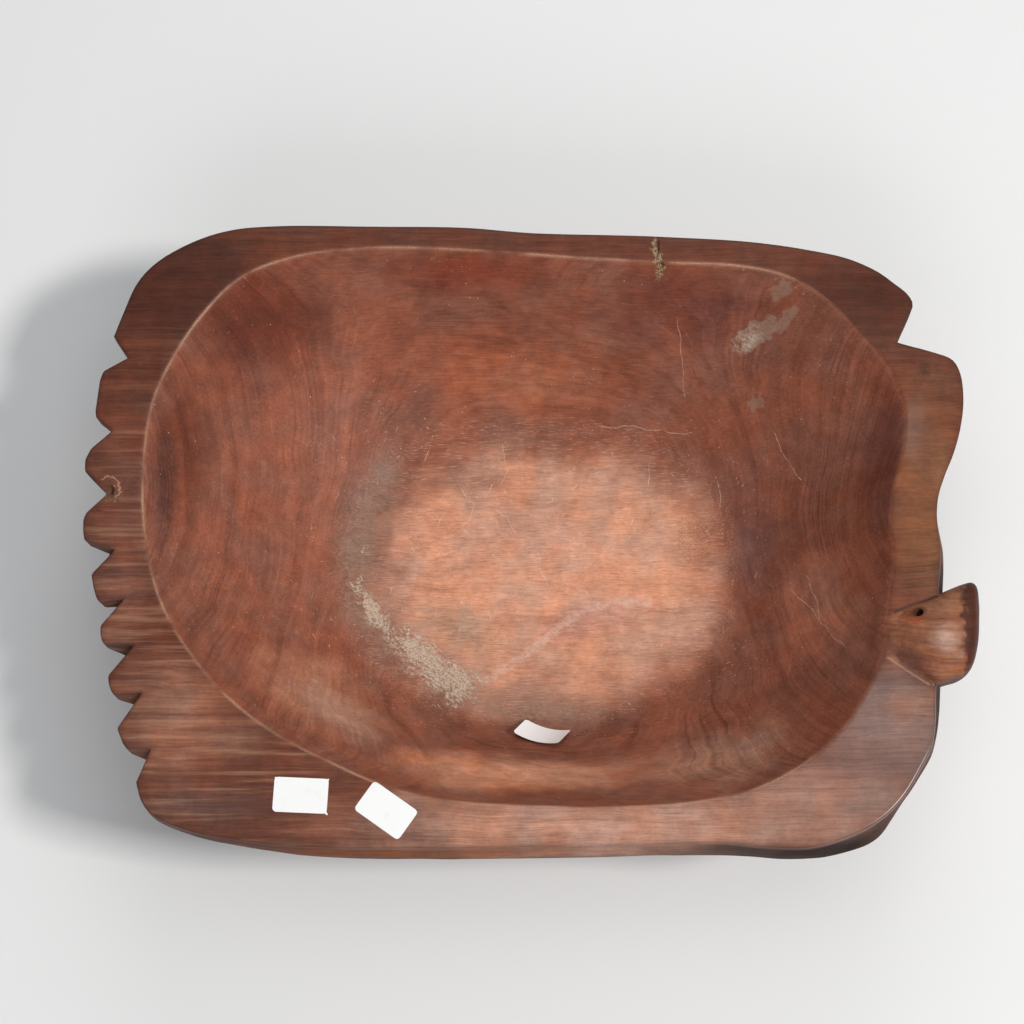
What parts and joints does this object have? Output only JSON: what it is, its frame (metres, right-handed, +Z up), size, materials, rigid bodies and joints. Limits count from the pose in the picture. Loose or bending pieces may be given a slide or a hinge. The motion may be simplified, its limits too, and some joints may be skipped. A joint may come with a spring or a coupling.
{
  "type": "kava bowl",
  "caption": "Fish-shaped oblong wooden bowl with a toothed rim, short legs and a drilled cord lug, for mixing and serving kava.",
  "frame": {"origin": "middle of the bowl's box in plan, on the surface that its feet stand on", "axes": "+Z up out of the bowl, +X along the bowl to the end with the cord lug, +Y to the long edge furthest from the labels"},
  "size_m": [0.4608, 0.3382, 0.127],
  "materials": {
    "carved_wood": "satin",
    "label_paper": "matte"
  },
  "bodies": {
    "root": {"bowl": "carved_wood", "rim_label_left": "label_paper", "rim_label_right": "label_paper", "inner_label": "label_paper"}
  },
  "joints": []
}
